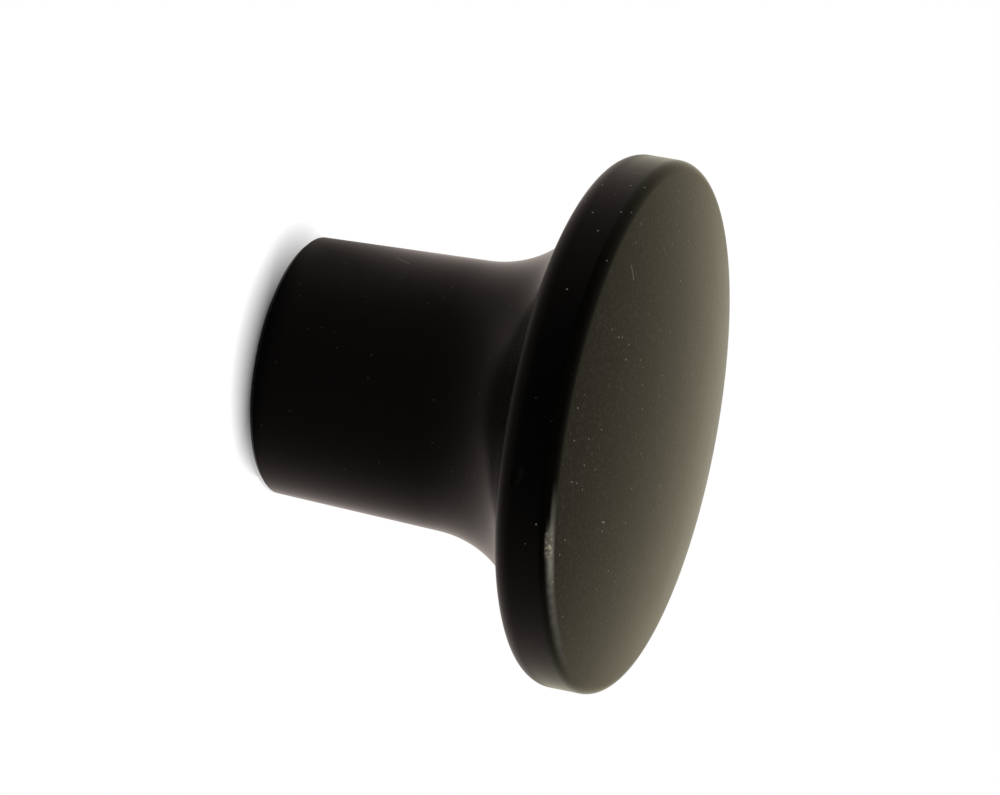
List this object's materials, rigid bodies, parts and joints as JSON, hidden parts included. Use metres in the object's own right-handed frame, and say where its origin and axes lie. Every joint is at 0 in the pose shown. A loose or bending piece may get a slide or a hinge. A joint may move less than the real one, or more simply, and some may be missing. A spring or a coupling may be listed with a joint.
{
  "type": "cabinet knob",
  "caption": "Round mushroom-shaped pull knob with a domed face, a hollow cove behind its rim and a tapped foot, screwed to a door or drawer front from behind.",
  "frame": {"origin": "middle of the flat foot, where the knob bears on the door", "axes": "+Z runs out of the door along the knob's axis, from the foot to the domed face; X and Y lie in the foot and are alike, because the knob is round"},
  "size_m": [0.04, 0.04, 0.03],
  "materials": {
    "black_coat": "matt black baked coating on a metal casting"
  },
  "bodies": {
    "root": {"knob": "black_coat"}
  },
  "joints": []
}
